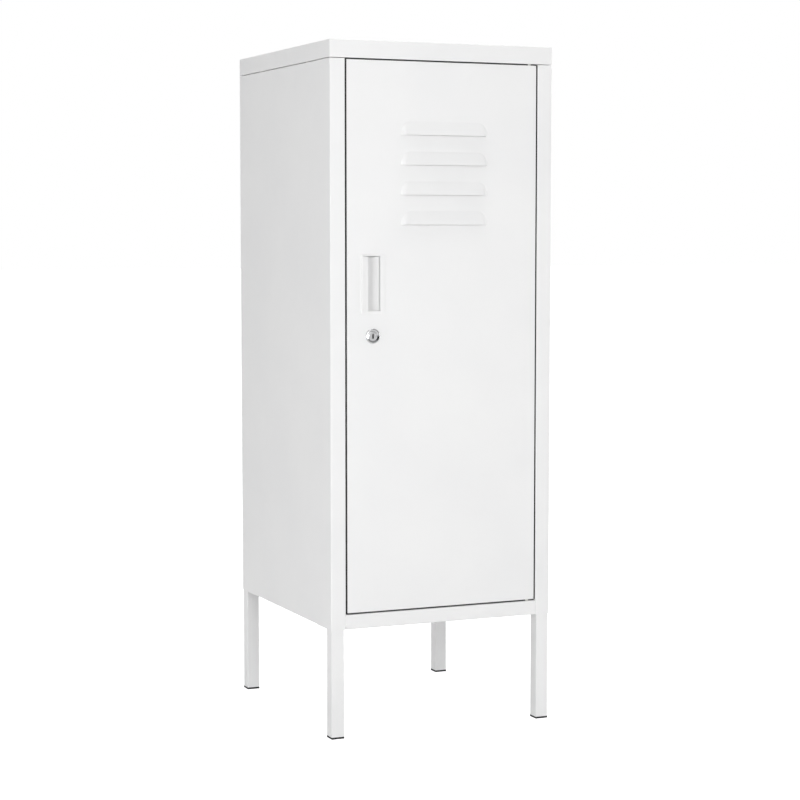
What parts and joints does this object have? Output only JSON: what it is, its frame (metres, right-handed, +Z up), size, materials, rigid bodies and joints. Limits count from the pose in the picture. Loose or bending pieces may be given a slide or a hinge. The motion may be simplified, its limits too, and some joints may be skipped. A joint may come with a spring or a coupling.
{
  "type": "metal locker",
  "caption": "Free-standing folded-steel locker on square tube legs, with an inset hinged door that has pressed louvres, a recessed pull and a cam lock.",
  "frame": {"origin": "on the floor, under the middle of the cabinet's footprint", "axes": "+X to the right of someone facing the door, +Y to the rear, +Z up"},
  "size_m": [0.36, 0.4024, 1.025],
  "materials": {
    "white_paint": "satin white powder coat with a very fine texture",
    "white_plastic": "moulded, satin",
    "chrome": "bright chrome plate",
    "black_plastic": "moulded, matt",
    "zinc_steel": "bright zinc plate",
    "nylon": "natural nylon",
    "clear_rubber": "translucent soft rubber",
    "black_rubber": "matt black seal strip",
    "magnet_strip": "matt magnet strip"
  },
  "bodies": {
    "cabinet": {"left_side_panel": "white_paint", "right_side_panel": "white_paint", "back_panel": "white_paint", "bottom_panel": "white_paint", "top_lid": "white_paint", "lid_stiffener": "white_paint", "header_rail": "white_paint", "upper_pivot_plate": "white_paint", "lower_shelf": "white_paint", "upper_shelf": "white_paint", "upper_hinge_pin": "white_paint", "lower_hinge_pin": "white_paint", "front_left_leg": "white_paint", "front_right_leg": "white_paint", "rear_left_leg": "white_paint", "rear_right_leg": "white_paint", "front_left_shelf_standard": "white_paint", "front_right_shelf_standard": "white_paint", "rear_left_shelf_standard": "white_paint", "rear_right_shelf_standard": "white_paint", "front_left_foot": "black_plastic", "front_right_foot": "black_plastic", "rear_left_foot": "black_plastic", "rear_right_foot": "black_plastic", "lower_shelf_clips": "zinc_steel", "upper_shelf_clips": "zinc_steel", "lid_screws": "zinc_steel", "lid_nuts": "zinc_steel", "bottom_screws": "zinc_steel", "bottom_nuts": "zinc_steel", "back_screws": "zinc_steel", "back_nuts": "zinc_steel", "leg_bolts": "zinc_steel", "leg_nuts": "zinc_steel", "lid_spacers": "nylon", "door_bumpers": "clear_rubber", "door_magnets": "magnet_strip", "hinge_seal": "black_rubber"},
    "door": {"door_panel": "white_paint", "door_stiffener": "white_paint", "door_seal": "black_rubber", "handle_cup": "white_plastic", "lock_body": "chrome", "lock_nut": "zinc_steel", "upper_hinge_bush": "nylon", "lower_hinge_bush": "nylon"},
    "lock": {"lock_plug": "chrome", "lock_cam": "zinc_steel", "lock_cam_screw": "zinc_steel"}
  },
  "joints": [
    {"name": "door_hinge", "type": "hinge", "parent": "cabinet", "child": "door", "pos_m": [0.142, -0.1915, 0.592], "axis": [0, 0, 1], "range_deg": [0, 115]},
    {"name": "lock_turn", "type": "hinge", "parent": "door", "child": "lock", "pos_m": [-0.1136, -0.19, 0.5955], "axis": [0, 1, 0], "range_deg": [0, 90]}
  ]
}
